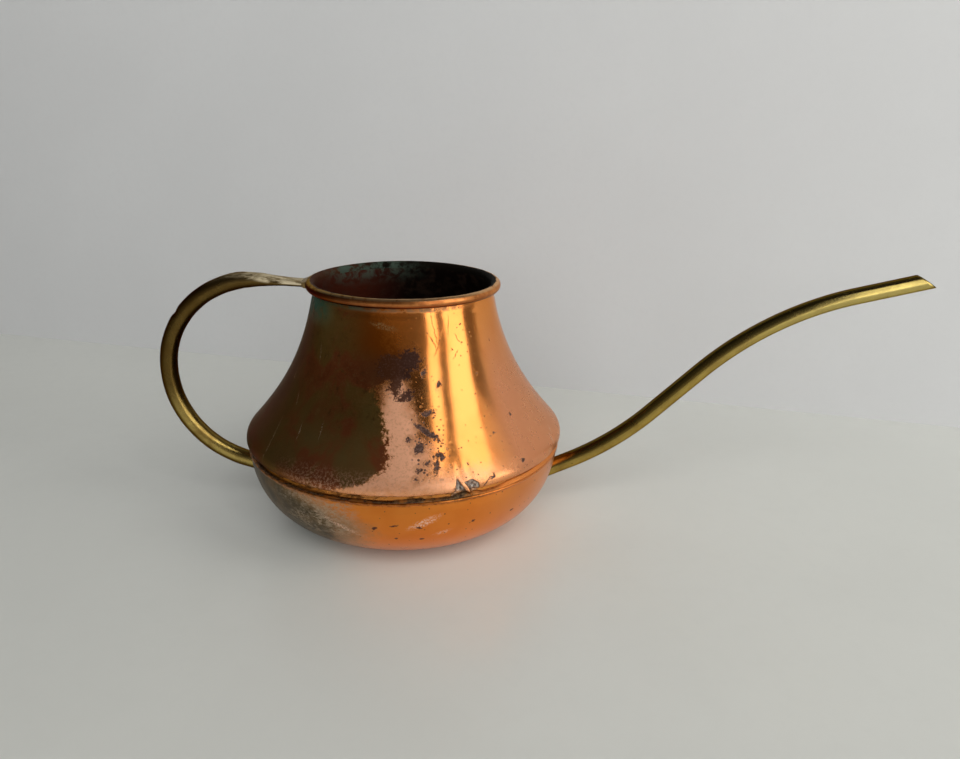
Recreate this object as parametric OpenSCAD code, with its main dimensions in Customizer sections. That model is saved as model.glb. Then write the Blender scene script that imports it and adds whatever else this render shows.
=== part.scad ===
/* [Body] */
// Widest diameter of the body, at the shoulder
body_d = 150; // [140:1:160]
// Height from the table to the top of the rolled rim
total_h = 116.5; // [110:0.5:124]
// Height of the seam where the bowl meets the upper body
seam_h = 38.6; // [34:0.2:42]
// Diameter of the flat the can stands on
base_d = 60; // [44:1:72]
// Diameter of the clear mouth inside the rolled rim
mouth_d = 81; // [74:0.5:88]
// Thickness of the spun copper sheet
sheet = 0.8; // [0.6:0.05:1]

/* [Rolled rim] */
// Diameter of the finished roll, wire and copper together
roll_d = 4.2; // [3.8:0.1:5]
// How far round the wire the copper is rolled
roll_turn = 300; // [240:5:305]

/* [Shoulder] */
// Radius of the rounded shoulder above its widest point
shoulder_r = 5.3; // [4:0.1:8]
// Angle the shoulder turns through before the flare takes over
shoulder_turn = 42; // [34:1:50]
// Radius of the small tuck under the shoulder
tuck_r = 1.5; // [1.2:0.1:2]
// How far the band below the tuck is set in from the widest point
band_inset = 2.6; // [2.2:0.1:3.2]
// Height of the widest point above the seam
shoulder_rise = 5.3; // [4.6:0.1:6.4]

/* [Bowl lip] */
// How far the lip of the bowl stands in from the widest point
lip_inset = 0.8; // [0.6:0.1:1.2]
// Radius of the outward turn of the lip
lip_turn_r = 1.6; // [1.2:0.1:2]

/* [Tubes] */
// Outside diameter of the brass tube
tube_d = 8; // [7:0.1:9]
// Wall of the brass tube
tube_wall = 0.8; // [0.6:0.1:1]

/* [Spout] */
// Height of the spout's centre line where it reaches the body's side
spout_z = 22.2; // [20:0.2:26]
// Angle at which the spout leaves the body
spout_rise = 23.5; // [18:0.5:28]
// Length of the straight root
spout_root = 8; // [6:0.5:12]
// Radius of the upward bend
spout_up_r = 134; // [100:1:160]
// Angle of the upward bend
spout_up_turn = 20; // [14:0.5:26]
// Length of the straight between the bends
spout_mid = 31; // [15:0.5:40]
// Radius of the downward bend
spout_down_r = 151.5; // [120:0.5:180]
// Angle of the downward bend
spout_down_turn = 30.5; // [20:0.5:36]
// Length of the straight at the tip, to the middle of the cut
spout_tip = 32.4; // [20:0.2:45]
// Slant of the cut across the tip
tip_slant = 45; // [0:1:55]

/* [Handle] */
// Height of the handle's centre line where it reaches the body's side
foot_z = 24; // [20:0.2:28]
// Angle at which the handle leaves the body
foot_rise = 17.7; // [10:0.1:24]
// Length of the straight at the foot
foot_run = 5; // [4:0.1:10]
// Heading at which the lower bend hands over to the upper one
bend_swap = 91; // [84:1:98]
// Angle by which the tab slopes down to the rim
tab_fall = 3.5; // [0:0.5:10]
// Length of the straight, flattened tab
tab_run = 20; // [14:0.5:24]
// Thickness of the flattened end
tab_t = 2.2; // [2:0.1:3]
// How far the flattened end sits below the middle of the roll
tab_drop = 0.7; // [0.4:0.1:0.9]

/* [Hidden] */

copper = [0.72, 0.40, 0.23];
copper_dull = [0.62, 0.36, 0.20];
brass = [0.62, 0.48, 0.22];
solder_grey = [0.48, 0.45, 0.40];
wire_steel = [0.45, 0.44, 0.42];

// Facets round the body, round a tube, along a bend, round a pressed end and round the wire
round_fn = 96;
tube_fn = 40;
bend_fn = 72;
end_fn = 32;
wire_fn = 12;

// Clearance between touching pieces, overrun of cutters, and the lap that ties runs together
gap = 0.03;
overrun = 4;
tie_len = 0.4;
slice = 0.02;

body_r = body_d / 2;
band_r = body_r - band_inset;
skirt_play = 0.15;
skirt_lap = 4;
wall_r = band_r + sheet + skirt_play;
lip_r = body_r - lip_inset;
shoulder_z = seam_h + shoulder_rise;
roll_r = roll_d / 2;
roll_inner_r = roll_r - sheet;
roll_c = [mouth_d / 2 + roll_r, total_h - roll_r];
neck_r = mouth_d / 2 + sheet;
bore_d = tube_d - 2 * tube_wall;

// Unit vector at an angle in the profile plane
function dir(a) = [cos(a), sin(a)];

// Points on an arc, both ends included
function arc(c, r, a0, a1, n) = [for (i = [0:n]) c + r * dir(a0 + (a1 - a0) * i / n)];

// Points on a cubic curve, both ends included
function curve(p, n) = [for (i = [0:n]) let (t = i / n, s = 1 - t)
    s * s * s * p[0] + 3 * s * s * t * p[1] + 3 * s * t * t * p[2] + t * t * t * p[3]];

// Direction of travel along a list of points at point i
function heading(p, i) = let (a = p[max(i - 1, 0)], b = p[min(i + 1, len(p) - 1)]) (b - a) / norm(b - a);

// The same line moved sideways by t, to the left of its direction of travel
function beside(p, t) = [for (i = [0:len(p) - 1]) let (h = heading(p, i)) p[i] + t * [-h[1], h[0]]];

function reverse(p) = [for (i = [len(p) - 1:-1:0]) p[i]];

// Outside of the shoulder where the flare leaves it, and the neck under the roll. The
// flare is a cubic curve: each end pulls it along by a share of its length.
flare_low_pull = 0.37;
flare_high_pull = 0.35;
neck_lean = 0.15;
shoulder_c = [body_r - shoulder_r, shoulder_z];
flare_start = shoulder_c + shoulder_r * dir(shoulder_turn);
neck_top = [neck_r, roll_c[1]];
neck_foot = neck_top - [0, roll_r];
flare_len = norm(neck_foot - flare_start);
flare = [flare_start,
         flare_start + flare_low_pull * flare_len * dir(shoulder_turn + 90),
         neck_foot + flare_high_pull * flare_len * [neck_lean, -1],
         neck_foot];

// Skirt inside the bowl, set-in band, crease, then the tuck under the shoulder. Each arc
// starts one step on from the point where the last line ended.
tuck_c = [body_r - tuck_r, shoulder_z];
tuck_z = shoulder_z - tuck_r;
crease_c = [band_r + sheet, tuck_z - sheet];

shell_line = concat(
    [[band_r, seam_h - skirt_lap], [band_r, crease_c[1]]],
    arc(crease_c, sheet, 157.5, 90, 3),
    arc(tuck_c, tuck_r, -90, -18, 4),
    arc(shoulder_c, shoulder_r, 0, shoulder_turn, 5),
    [for (p = curve(flare, 16)) if (p != flare_start) p],
    arc(roll_c, roll_inner_r, 180, 180 - roll_turn, 15));

// Bowl: flat base, rounded side, upright wall and out-turned lip. The side is a cubic
// curve that leaves the base at a low angle and arrives nearly upright.
base_tilt = 5.7;
base_pull = 0.42;
wall_tilt = 81;
wall_pull = 0.44;
lip_cos_min = 0.3;
wall_foot = [wall_r, seam_h - skirt_lap];
side_len = norm(wall_foot - [base_d / 2, 0]);
side = [[base_d / 2, 0],
        [base_d / 2, 0] + base_pull * side_len * dir(base_tilt),
        wall_foot - wall_pull * side_len * dir(wall_tilt),
        wall_foot];
lip_out = lip_r - wall_r;
lip_turn = acos(max(lip_cos_min, 1 - lip_out / lip_turn_r));
lip_c = [wall_r + lip_turn_r, seam_h - lip_turn_r * sin(lip_turn)];
lip_line = arc(lip_c, lip_turn_r, 180, 180 - lip_turn, 4);
bowl_line = concat([[0, 0]], curve(side, 18), lip_line);

// Path of a tube in the XZ plane, as runs of [radius, amount]. Radius 0 is a
// straight of that length; otherwise the amount is an angle, and a negative
// radius bends the other way.
function turned(h, run) = run[0] == 0 ? h : h + sign(run[0]) * run[1];
function moved(p, h, run) = run[0] == 0 ? p + run[1] * dir(h)
    : p + run[0] * (dir(turned(h, run) - 90) - dir(h - 90));

// A short disc a hair wider than the rod, which ties two runs into one solid
module tie(d, p, h) {
    translate([p[0], 0, p[1]])
        rotate([0, 90 - h, 0])
            cylinder(h = tie_len, d = d + gap, center = true, $fn = tube_fn);
}

module rod_run(d, p, h, run, i = 0) {
    if (i < len(run)) {
        r = run[i][0];
        a = run[i][1];
        if (r == 0)
            translate([p[0], 0, p[1]])
                rotate([0, 90 - h, 0])
                    cylinder(h = a, d = d, $fn = tube_fn);
        else {
            c = p - r * dir(h - 90);
            translate([c[0], 0, c[1]])
                rotate([90, 0, 0])
                    rotate(r > 0 ? h - 90 : h + 90 - a)
                        rotate_extrude(angle = a, $fn = bend_fn)
                            translate([abs(r), 0])
                                circle(d = d, $fn = tube_fn);
        }
        tie(d, moved(p, h, run[i]), turned(h, run[i]));
        rod_run(d, moved(p, h, run[i]), turned(h, run[i]), run, i + 1);
    }
}

// Everything inside the outside surface of the bowl
module bowl_solid() {
    rotate_extrude($fn = round_fn)
        polygon(concat(bowl_line, [[0, seam_h]]));
}

// A straight bar along a heading in the XZ plane, from -back to +ahead
module bar(p, h, d1, d2, back, ahead) {
    translate([p[0], 0, p[1]])
        rotate([0, 90 - h, 0])
            translate([0, 0, -back])
                cylinder(h = back + ahead, d1 = d1, d2 = d2, $fn = tube_fn);
}

// Solder run round a tube where it meets the side of the bowl: thick against the bowl,
// thin where it ends on the tube
fillet = 2.4;
fillet_thin = 0.25;
fillet_back = 7;
fillet_end = 1.5;
module root_solder(p, h) {
    difference() {
        bar(p, h, tube_d + 2 * fillet, tube_d + 2 * fillet_thin, fillet_back, -fillet_end);
        bar(p, h, tube_d + gap, tube_d + gap, fillet_back + overrun, overrun);
        bowl_solid();
    }
}

spout_p = [wall_r, spout_z];
spout_back = 10;
spout_start = spout_p - spout_back * dir(spout_rise);
tip_extra = tube_d;
spout_runs = [[0, spout_back + spout_root], [spout_up_r, spout_up_turn], [0, spout_mid],
              [-spout_down_r, spout_down_turn], [0, spout_tip + tip_extra]];

function end_of(p, h, run, i = 0) = i == len(run) ? p
    : end_of(moved(p, h, run[i]), turned(h, run[i]), run, i + 1);
function end_heading(h, run, i = 0) = i == len(run) ? h : end_heading(turned(h, run[i]), run, i + 1);

spout_end_h = end_heading(spout_rise, spout_runs);
tip_p = end_of(spout_start, spout_rise, spout_runs) - tip_extra * dir(spout_end_h);

// The handle's two bends are sized so that it runs from its foot to the rim
foot_p = [wall_r, foot_z];
foot_back = 10;
tab_h = 180 + tab_fall;
tab_gap = 0.5;
tab_p = [roll_c[0] + roll_r + tab_gap, roll_c[1] - tab_drop];
left_over = tab_p - foot_p - foot_run * dir(foot_rise) - tab_run * dir(tab_h);
low_step = dir(bend_swap - 90) - dir(foot_rise - 90);
high_step = dir(tab_h - 90) - dir(bend_swap - 90);
function cross2(a, b) = a[0] * b[1] - a[1] * b[0];
low_r = cross2(left_over, high_step) / cross2(low_step, high_step);
high_r = cross2(low_step, left_over) / cross2(low_step, high_step);
foot_start = foot_p - foot_back * dir(foot_rise);
handle_runs = [[0, foot_back + foot_run], [low_r, bend_swap - foot_rise], [high_r, tab_h - bend_swap]];
tab_start = end_of(foot_start, foot_rise, handle_runs);
slit_min = 0.2;
tab_slit = max(tab_t - 2 * tube_wall, slit_min);

// Outline of the flattened end: the tube's girth pressed to a lower, wider loop
module tab_outline(t, around) {
    flat = (around - PI * t) / 2;
    for (y = [-0.5, 0.5])
        translate([0, y * flat])
            circle(d = t, $fn = end_fn);
}

// Places a piece at the start of the tab, with +Z running along it
module at_tab() {
    translate([tab_start[0], 0, tab_start[1]])
        rotate([0, 90 - tab_h, 0])
            children();
}

// Tube pressed flat along a straight: round at the start, flat at the end, and longer
// than the straight by the lap at both ends
module pressed(d, t, lap) {
    hull() {
        translate([0, 0, -lap])
            linear_extrude(height = slice)
                circle(d = d, $fn = end_fn);
        translate([0, 0, tab_run + lap])
            linear_extrude(height = slice)
                tab_outline(t, PI * d);
    }
}

// Copper sheet: skirt, band, shoulder, flare, neck and rolled rim
module upper_shell() {
    color(copper)
        rotate_extrude($fn = round_fn)
            polygon(concat(shell_line, reverse(beside(shell_line, sheet))));
}

// Wire that the rim is rolled round
module rim_wire() {
    color(wire_steel)
        rotate_extrude($fn = round_fn)
            translate(roll_c)
                circle(r = roll_inner_r - gap, $fn = wire_fn);
}

// Copper bowl, pierced for the spout
module base_bowl() {
    color(copper_dull)
        difference() {
            rotate_extrude($fn = round_fn)
                polygon(concat(bowl_line, reverse(beside(bowl_line, sheet))));
            bar(spout_p, spout_rise, tube_d + 2 * gap, tube_d + 2 * gap, spout_back + overrun, overrun);
        }
}

// Solder lying in the groove between the band and the lip, and climbing the band
module seam_solder() {
    pocket = beside(lip_line, sheet + gap);
    top = pocket[len(pocket) - 1];
    climb = 1.3;
    face = 0.35;
    color(solder_grey)
        rotate_extrude($fn = round_fn)
            polygon(concat([[band_r + gap, pocket[1][1]]],
                           [for (i = [1:len(pocket) - 1]) pocket[i]],
                           [top + face * [-1, 1],
                            [band_r + face, top[1] + climb - face],
                            [band_r + gap, top[1] + climb]]));
}

// Long spout, cut on the slant at its tip
module spout_tube() {
    color(brass)
        difference() {
            rod_run(tube_d, spout_start, spout_rise, spout_runs);
            rod_run(bore_d, spout_start, spout_rise, spout_runs);
            translate([tip_p[0], 0, tip_p[1]])
                rotate([0, -spout_end_h - tip_slant, 0])
                    translate([0, -tube_d, -2 * tube_d])
                        cube([3 * tube_d, 2 * tube_d, 4 * tube_d]);
        }
}

module spout_solder() {
    color(solder_grey)
        root_solder(spout_p, spout_rise);
}

// C-shaped handle on the far side, pressed flat where it meets the rim
module handle_tube() {
    color(brass)
        mirror([1, 0, 0])
            difference() {
                union() {
                    rod_run(tube_d, foot_start, foot_rise, handle_runs);
                    at_tab()
                        pressed(tube_d - gap, tab_t, slice);
                }
                rod_run(bore_d, foot_start, foot_rise, handle_runs);
                at_tab()
                    pressed(bore_d - gap, tab_slit, 3 * slice);
                bowl_solid();
            }
}

module handle_foot_solder() {
    color(solder_grey)
        mirror([1, 0, 0])
            root_solder(foot_p, foot_rise);
}

// Solder bridging the flattened end and the outside of the roll, heaped above the tab
module handle_tab_solder() {
    half = 7;
    wrap_low = -62;
    wrap_high = 50;
    end_r = tab_p[0] - 5 * gap;
    color(solder_grey)
        rotate(180 - half)
            rotate_extrude(angle = 2 * half, $fn = round_fn)
                polygon(concat(arc(roll_c, roll_r + gap, wrap_low, wrap_high, 8),
                               [[end_r, roll_c[1] + roll_r / 2],
                                [end_r, tab_p[1] - tab_t / 2]]));
}

upper_shell();
rim_wire();
base_bowl();
seam_solder();
spout_tube();
spout_solder();
handle_tube();
handle_foot_solder();
handle_tab_solder();
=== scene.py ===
"""Looks for a small indoor watering can: spun copper body, brass handle and long brass spout.

Lengths are in mm and angles in degrees, apart from what goes to Blender and to the frame, which
is in metres. The body turns round Z, the spout points along +X and the front faces -Y.
"""
import math

import bmesh
import bpy
from mathutils import Matrix, Vector, noise


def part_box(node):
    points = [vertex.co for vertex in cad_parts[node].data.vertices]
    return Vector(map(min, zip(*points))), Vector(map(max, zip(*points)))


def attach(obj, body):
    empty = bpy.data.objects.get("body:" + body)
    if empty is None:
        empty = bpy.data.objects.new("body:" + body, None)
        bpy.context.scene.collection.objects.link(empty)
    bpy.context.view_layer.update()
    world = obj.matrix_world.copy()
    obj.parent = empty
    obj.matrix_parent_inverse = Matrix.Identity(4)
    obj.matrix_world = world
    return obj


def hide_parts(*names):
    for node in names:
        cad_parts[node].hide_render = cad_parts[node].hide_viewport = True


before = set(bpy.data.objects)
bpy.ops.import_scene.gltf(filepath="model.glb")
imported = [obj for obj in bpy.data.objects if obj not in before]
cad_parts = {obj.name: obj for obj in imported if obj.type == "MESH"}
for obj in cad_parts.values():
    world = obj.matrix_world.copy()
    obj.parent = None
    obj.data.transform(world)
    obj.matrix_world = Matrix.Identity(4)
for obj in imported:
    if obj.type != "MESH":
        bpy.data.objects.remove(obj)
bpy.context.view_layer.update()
MM = 0.001


# --- sizes
def far_corner(node):
    """Highest x, y and z of a CAD node."""
    return [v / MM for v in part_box(node)[1]]


BODY_R, _, TOTAL_H = far_corner("upper_shell")
LIP_R = far_corner("base_bowl")[0]
SHEET = 0.8
ROLL_R = 2.1
MOUTH_R = 40.5
SEAM_H = 38.6
SKIRT = 4.0
BASE_R = 30.0
BOWL_LEAVES = 5.7
BOWL_ARRIVES = 81.0
SHOULDER_R = 5.3
SHOULDER_TURN = 42.0
SHOULDER_Z = SEAM_H + 5.3
TUCK_R = 1.5
BAND_R = BODY_R - 2.6
WALL_R = BAND_R + SHEET + 0.15
LIP_TURN_R = 1.6
TUBE_R = 4.0
TUBE_WALL = 0.8
ROLL_C = (MOUTH_R + ROLL_R, TOTAL_H - ROLL_R)
GAP = 0.02


# --- 2D line tools
def rad(a):
    return math.radians(a)


def direction(a):
    return (math.cos(rad(a)), math.sin(rad(a)))


def arc(c, r, a0, a1, n):
    """Points in n steps round a centre."""
    pts = []
    for i in range(n + 1):
        d = direction(a0 + (a1 - a0) * i / n)
        pts.append((c[0] + r * d[0], c[1] + r * d[1]))
    return pts


def curve(p, n):
    """Points in n steps along a cubic Bezier curve."""
    pts = []
    for i in range(n + 1):
        t = i / n
        s = 1 - t
        w = (s ** 3, 3 * s * s * t, 3 * s * t * t, t ** 3)
        pts.append(tuple(sum(w[k] * p[k][j] for k in range(4)) for j in (0, 1)))
    return pts


def beside(p, t):
    """The same line moved by t to the left of the way it runs."""
    out = []
    for i in range(len(p)):
        a = p[max(i - 1, 0)]
        b = p[min(i + 1, len(p) - 1)]
        h = (b[0] - a[0], b[1] - a[1])
        n = math.hypot(*h) or 1.0
        out.append((p[i][0] - t * h[1] / n, p[i][1] + t * h[0] / n))
    return out


def add(a, b, k=1.0):
    return (a[0] + k * b[0], a[1] + k * b[1])


def cross(a, b):
    return a[0] * b[1] - a[1] * b[0]


def smooth(a, b, x):
    """Eases from 0 to 1 as x goes from a to b."""
    t = min(max((x - a) / (b - a), 0.0), 1.0)
    return t * t * (3 - 2 * t)


def bell(x, width):
    """1 at x = 0, falling away over about a width."""
    return math.exp(-(x / width) ** 2)


def inside_by(p, corners):
    """Distance from a place inside a convex outline to its nearest edge, below zero outside."""
    reach = []
    for a, b in zip(corners, corners[1:] + corners[:1]):
        side = (b[0] - a[0], b[1] - a[1])
        reach.append(cross(side, (p[0] - a[0], p[1] - a[1])) / math.hypot(*side))
    return min(reach)


# --- body profiles
shoulder_c = (BODY_R - SHOULDER_R, SHOULDER_Z)
flare_start = add(shoulder_c, direction(SHOULDER_TURN), SHOULDER_R)
neck_foot = (MOUTH_R + SHEET, ROLL_C[1] - ROLL_R)
flare_len = math.dist(flare_start, neck_foot)
FLARE = [flare_start, add(flare_start, direction(SHOULDER_TURN + 90), 0.37 * flare_len),
         add(neck_foot, (0.15, -1), 0.35 * flare_len), neck_foot]
crease_c = (BAND_R + SHEET, SHOULDER_Z - TUCK_R - SHEET)
BAND_RINGS = 18
BAND_STEP = 0.4

shell_line = ([(BAND_R, SEAM_H - SKIRT + BAND_STEP * i) for i in range(BAND_RINGS)]
              + arc(crease_c, SHEET, 180, 95, 6)
              + arc((BODY_R - TUCK_R, SHOULDER_Z), TUCK_R, -86, -6, 10)
              + arc(shoulder_c, SHOULDER_R, 0, SHOULDER_TURN, 12)
              + curve(FLARE, 84)[1:-1]
              + [neck_foot, (neck_foot[0], ROLL_C[1] - 1.0)]
              + arc(ROLL_C, ROLL_R - SHEET, 180, -120, 26))
shell_back = beside(shell_line, SHEET)

wall_foot = (WALL_R, SEAM_H - SKIRT)
side_len = math.dist(wall_foot, (BASE_R, 0))
SIDE = [(BASE_R, 0), add((BASE_R, 0), direction(BOWL_LEAVES), 0.42 * side_len),
        add(wall_foot, direction(BOWL_ARRIVES), -0.44 * side_len), wall_foot]
lip_turn = math.degrees(math.acos(1 - (LIP_R - WALL_R) / LIP_TURN_R))
lip_c = (WALL_R + LIP_TURN_R, SEAM_H - LIP_TURN_R * math.sin(rad(lip_turn)))
lip_line = arc(lip_c, LIP_TURN_R, 180, 180 - lip_turn, 8)
bowl_line = ([(r, 0) for r in (0.001, 6, 12, 18, 23, 27)] + [(29.3, 0.02)]
             + curve(SIDE, 70)[1:] + lip_line)
bowl_back = beside(bowl_line, SHEET)


def bowl_radius(z):
    """Radius of the outside of the bowl at height z."""
    found = []
    for a, b in zip(bowl_line, bowl_line[1:]):
        if min(a[1], b[1]) <= z <= max(a[1], b[1]) and a[1] != b[1]:
            found.append(a[0] + (b[0] - a[0]) * (z - a[1]) / (b[1] - a[1]))
    return max(found)


# --- mesh helpers
def new_object(name, data):
    obj = bpy.data.objects.new(name, data)
    bpy.context.scene.collection.objects.link(obj)
    return obj


def add_piece(name, shape, node, slot, *materials):
    """Mesh piece riding the can, in place of a CAD node.

    Its shape is vertices in mm, faces and the numbers of any faces in the second material."""
    verts, faces, inside = shape if len(shape) == 3 else (*shape, ())
    mesh = bpy.data.meshes.new(name)
    mesh.from_pydata([tuple(c * MM for c in v) for v in verts], [], faces)
    for m in materials:
        mesh.materials.append(m)
    for i in inside:
        mesh.polygons[i].material_index = 1
    bm = bmesh.new()
    bm.from_mesh(mesh)
    bmesh.ops.remove_doubles(bm, verts=bm.verts, dist=1e-7)
    bmesh.ops.recalc_face_normals(bm, faces=bm.faces)
    bm.to_mesh(mesh)
    bm.free()
    for f in mesh.polygons:
        f.use_smooth = True
    obj = new_object(name, mesh)
    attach(obj, "root")
    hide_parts(node)


def bands(count, n, closed=True):
    """Quads joining `count` rings of n points in turn, and the last to the first if closed."""
    faces = []
    for k in range(count if closed else count - 1):
        a, b = k * n, (k + 1) % count * n
        faces += [(a + i, a + (i + 1) % n, b + (i + 1) % n, b + i) for i in range(n)]
    return faces


def lathe(line, back, turns, shape):
    """Closed shell of revolution from an outside line and the matching inside line.

    Returns the numbers of the faces on its inside too, up to the foot of the roll."""
    loop = list(line) + list(reversed(back))
    n = len(loop)
    verts = []
    for phi in turns:
        s, c = math.sin(rad(phi)), math.cos(rad(phi))
        for r, z in loop:
            dr, dz = shape(phi, z)
            verts.append((max(r + dr, 0.0) * s, -max(r + dr, 0.0) * c, z + dz))
    roll_foot = ROLL_C[1] - ROLL_R - 0.05
    within = [i for i in range(len(line), n) if min(loop[i][1], loop[(i + 1) % n][1]) < roll_foot]
    inside = [k * n + i for k in range(len(turns)) for i in within]
    return verts, bands(len(turns), n), inside


# --- tube centres
def walk(p, h, runs, step):
    """Points, headings and distances gone along straights (0, length) and bends (radius, angle)."""
    out = [(p, h, 0.0)]
    for r, a in runs:
        start, _, gone = out[-1]
        length = abs(r) * rad(a) if r else a
        turn = math.copysign(1, r) * a if r else 0.0
        n = max(2, math.ceil(length / step))
        c = add(start, direction(h - 90), -r)
        for i in range(1, n + 1):
            if r:
                hh = h + turn * i / n
                out.append((add(c, direction(hh - 90), r), hh, gone + length * i / n))
            else:
                out.append((add(start, direction(h), a * i / n), h, gone + length * i / n))
        h += turn
    return out


SPOUT_RISE = 23.5
SPOUT_BACK = 10.0
spout_p = (WALL_R, 22.2)
spout_start = add(spout_p, direction(SPOUT_RISE), -SPOUT_BACK)
SPOUT_RUNS = [(0, SPOUT_BACK + 8.0), (134.0, 20.0), (0, 31.0), (-151.5, 30.5), (0, 32.4)]

FOOT_RISE = 17.7
FOOT_BACK = 4.0
FOOT_RUN = 5.0
TAB_H = 180 + 3.5
TAB_RUN = 20.0
TAB_T = 2.2
TAB_DROP = 0.7
SWAP = 91.0
foot_p = (WALL_R, 24.0)
foot_start = add(foot_p, direction(FOOT_RISE), -FOOT_BACK)
tab_p = (ROLL_C[0] + ROLL_R + 0.5, ROLL_C[1] - TAB_DROP)

# the grip is two bends that hand over at the heading SWAP; their radii close the gap
left_over = add(add(add(tab_p, foot_p, -1), direction(FOOT_RISE), -FOOT_RUN), direction(TAB_H), -TAB_RUN)
low_step = add(direction(SWAP - 90), direction(FOOT_RISE - 90), -1)
high_step = add(direction(TAB_H - 90), direction(SWAP - 90), -1)
LOW_R = cross(left_over, high_step) / cross(low_step, high_step)
HIGH_R = cross(low_step, left_over) / cross(low_step, high_step)
HANDLE_RUNS = [(0, FOOT_BACK + FOOT_RUN), (LOW_R, SWAP - FOOT_RISE), (HIGH_R, TAB_H - SWAP), (0, TAB_RUN)]


# --- shaders
class Graph:
    """A few words for building a node material in mm."""

    def __init__(self, name, library=bpy.data.materials, out="OutputMaterial"):
        self.owner = library.new(name)
        self.owner.use_nodes = True
        self.t = self.owner.node_tree
        self.t.nodes.clear()
        self.out = self.node(out)
        self.coord = self.node("TexCoord")
        self.p = self.vec("MULTIPLY", self.coord.outputs["Object"], (1000, 1000, 1000))
        self.x, self.y, self.z = self.parts(self.p)
        self.phi = self.mul(self.math("ARCTAN2", self.x, self.mul(self.y, -1)), 180 / math.pi)

    def node(self, kind, inputs=None, **settings):
        """A new node with its settings made and its inputs set or linked."""
        n = self.t.nodes.new("ShaderNode" + kind)
        for key, value in settings.items():
            setattr(n, key, value)
        for key, value in (inputs or {}).items():
            socket = n.inputs[key]
            if hasattr(value, "links"):
                self.t.links.new(value, socket)
            elif socket.type == "RGBA":
                socket.default_value = (*value, 1.0)
            else:
                socket.default_value = value
        return n

    def finish(self, shader):
        self.t.links.new(shader.outputs[0], self.out.inputs[0])
        return self.owner

    def parts(self, v):
        return self.node("SeparateXYZ", {0: v}).outputs

    def math(self, op, a, b=0.0):
        return self.node("Math", {0: a, 1: b}, operation=op).outputs[0]

    def mul(self, a, b):
        return self.math("MULTIPLY", a, b)

    def add(self, a, b):
        return self.math("ADD", a, b)

    def sub(self, a, b):
        return self.math("SUBTRACT", a, b)

    def most(self, a, b):
        return self.math("MAXIMUM", a, b)

    def least(self, values):
        found = values[0]
        for v in values[1:]:
            found = self.math("MINIMUM", found, v)
        return found

    def all(self, first, *others):
        """Product of several masks."""
        for mask in others:
            first = self.mul(first, mask)
        return first

    def without(self, mask, amount=1.0):
        """What is left after taking away part of a mask."""
        return self.sub(1.0, mask if amount == 1.0 else self.mul(mask, amount))

    def sway(self, v, amount):
        """A noise value turned into a push either way."""
        return self.mul(self.sub(v, 0.5), amount)

    def vec(self, op, a, b=(0, 0, 0)):
        n = self.node("VectorMath", {0: a, 1: b}, operation=op)
        return n.outputs["Value" if op in ("LENGTH", "DOT_PRODUCT") else 0]

    def noise(self, scale, detail=3.0, rough=0.55, warp=0.0, out="Fac", stretch=None):
        """Noise whose features are about `scale` mm across."""
        at = self.vec("MULTIPLY", self.p, stretch) if stretch else self.p
        return self.node("TexNoise", {"Vector": at, "Scale": 1.0 / scale, "Detail": detail,
                                      "Roughness": rough, "Distortion": warp}).outputs[out]

    def cells(self, scale):
        """Distance to the nearest of a scatter of points, for pinholes and dots."""
        return self.node("TexVoronoi", {"Vector": self.p, "Scale": 1.0 / scale}).outputs["Distance"]

    def step(self, v, lo, hi, a=0.0, b=1.0, kind="SMOOTHSTEP"):
        """Eases from a to b as v goes from lo to hi."""
        ends = {"Value": v, "From Min": lo, "From Max": hi, "To Min": a, "To Max": b}
        return self.node("MapRange", ends, interpolation_type=kind).outputs["Result"]

    def within(self, v, lo, lo_full, hi_full, hi):
        """Mask that is full between two values and fades out past them."""
        return self.mul(self.step(v, lo, lo_full), self.step(v, hi, hi_full))

    def linear(self, v, a, b):
        """From a to b in a straight line as v goes from 0 to 1."""
        return self.step(v, 0, 1, a, b, kind="LINEAR")

    def mix(self, f, a, b):
        """Colour part way from a to b."""
        return self.node("Mix", {0: f, 6: a, 7: b}, data_type="RGBA").outputs[2]

    def coat(self, color, mask, amount, over):
        """Lays a colour over another where a mask says so, at part strength."""
        return self.mix(self.mul(mask, amount), color, over)

    def lerp(self, f, a, b):
        """Number part way from a to b."""
        return self.node("Mix", {0: f, 2: a, 3: b}, data_type="FLOAT").outputs[0]

    def ramp(self, f, places, colors):
        """Colour that changes in a straight line between the colours at certain places."""
        n = self.node("ValToRGB", {0: f})
        stops = n.color_ramp.elements
        while len(stops) < len(places):
            stops.new(0.5)
        for stop, place, color in zip(stops, places, colors):
            stop.position = place
            stop.color = (*color, 1.0)
        return n.outputs[0]

    def curve(self, v, pts, out_lo, out_hi):
        """Smooth function of v through (v, value) points, the values between two bounds."""
        lo, hi = pts[0][0], pts[-1][0]
        n = self.node("FloatCurve", {"Value": self.step(v, lo, hi, kind="LINEAR")})
        c = n.mapping.curves[0]
        while len(c.points) < len(pts):
            c.points.new(0.5, 0.5)
        for q, (a, b) in zip(c.points, pts):
            q.location = ((a - lo) / (hi - lo), (b - out_lo) / (out_hi - out_lo))
        n.mapping.update()
        return self.linear(n.outputs[0], out_lo, out_hi)

    def shaken(self, scale, detail, amount):
        """Position shaken by noise, so that edges measured from it come out ragged."""
        shake = self.vec("SUBTRACT", self.noise(scale, detail, 0.65, out="Color"), (0.5, 0.5, 0.5))
        return self.vec("ADD", self.p, self.vec("MULTIPLY", shake, (amount,) * 3))

    def unrolled(self, p, radius):
        """A place on the body rolled out flat: distance round from the front, then height."""
        x, y, z = self.parts(p)
        turn = self.math("ARCTAN2", x, self.mul(y, -1))
        return self.node("CombineXYZ", {0: self.mul(turn, radius), 1: z}).outputs[0]

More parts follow.
